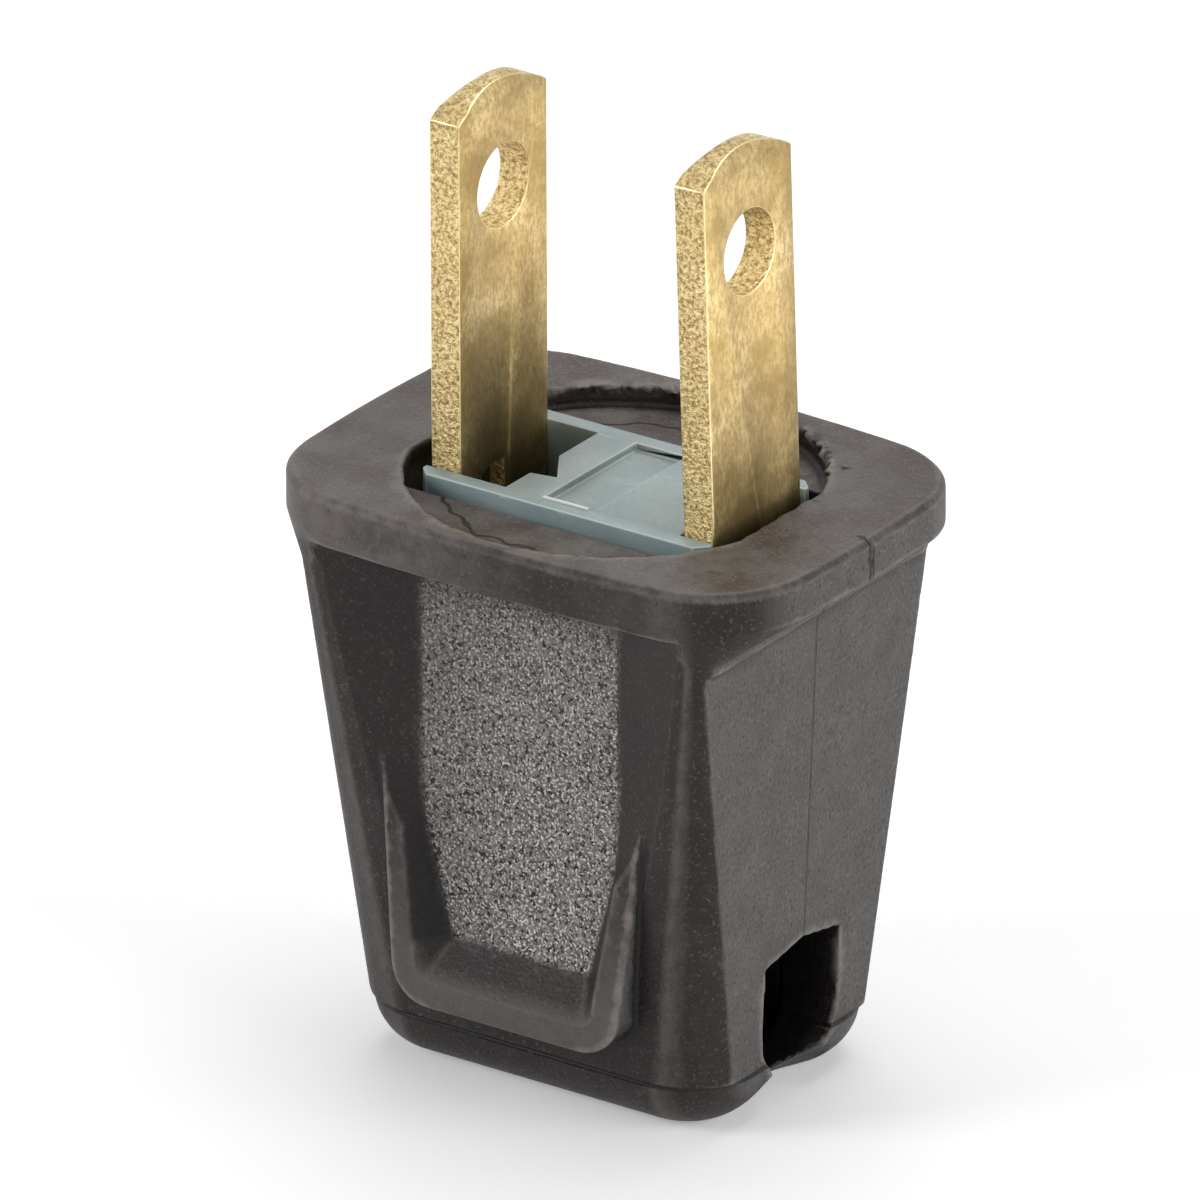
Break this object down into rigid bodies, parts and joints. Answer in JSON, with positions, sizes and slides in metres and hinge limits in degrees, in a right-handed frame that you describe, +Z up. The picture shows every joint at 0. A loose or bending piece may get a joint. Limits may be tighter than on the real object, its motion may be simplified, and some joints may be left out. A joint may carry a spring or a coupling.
{
  "type": "straight blade plug",
  "caption": "Two-wire straight blade plug: flanged moulded housing with finger recesses and side cord outlet, sliding blade carrier, and two pivoting brass blades.",
  "frame": {"origin": "centre of the plug's footprint, on the plane its closed foot stands on", "axes": "+Z up from the foot to the blade tips, X from blade to blade with the cord outlet in the +X face, Y the depth through the two finger recesses"},
  "size_m": [0.0254, 0.019, 0.0424],
  "materials": {
    "housing": "moulded dark brown thermoplastic, satin with a grained finger recess",
    "carrier": "natural moulded nylon, pale blue grey",
    "blade": "stamped brass with sheared edges"
  },
  "bodies": {
    "housing": {"housing": "housing"},
    "carrier": {"blade_carrier": "carrier"},
    "left_blade": {"blade_left": "blade"},
    "right_blade": {"blade_right": "blade"}
  },
  "joints": [
    {"name": "carrier_slide", "type": "slide", "parent": "housing", "child": "carrier", "axis": [0, 0, 1], "range_m": [0, 0.024]},
    {"name": "left_blade_swing", "type": "hinge", "parent": "carrier", "child": "left_blade", "pos_m": [-0.00635, 0, 0.0103], "axis": [0, -1, 0], "range_deg": [0, 15]},
    {"name": "right_blade_swing", "type": "hinge", "parent": "carrier", "child": "right_blade", "pos_m": [0.00685, 0, 0.0103], "axis": [0, 1, 0], "range_deg": [0, 15]}
  ],
  "couplings": [
    {"joint": "left_blade_swing", "follows": "carrier_slide", "rad_per_m": 10.9},
    {"joint": "right_blade_swing", "follows": "carrier_slide", "rad_per_m": 10.9}
  ]
}
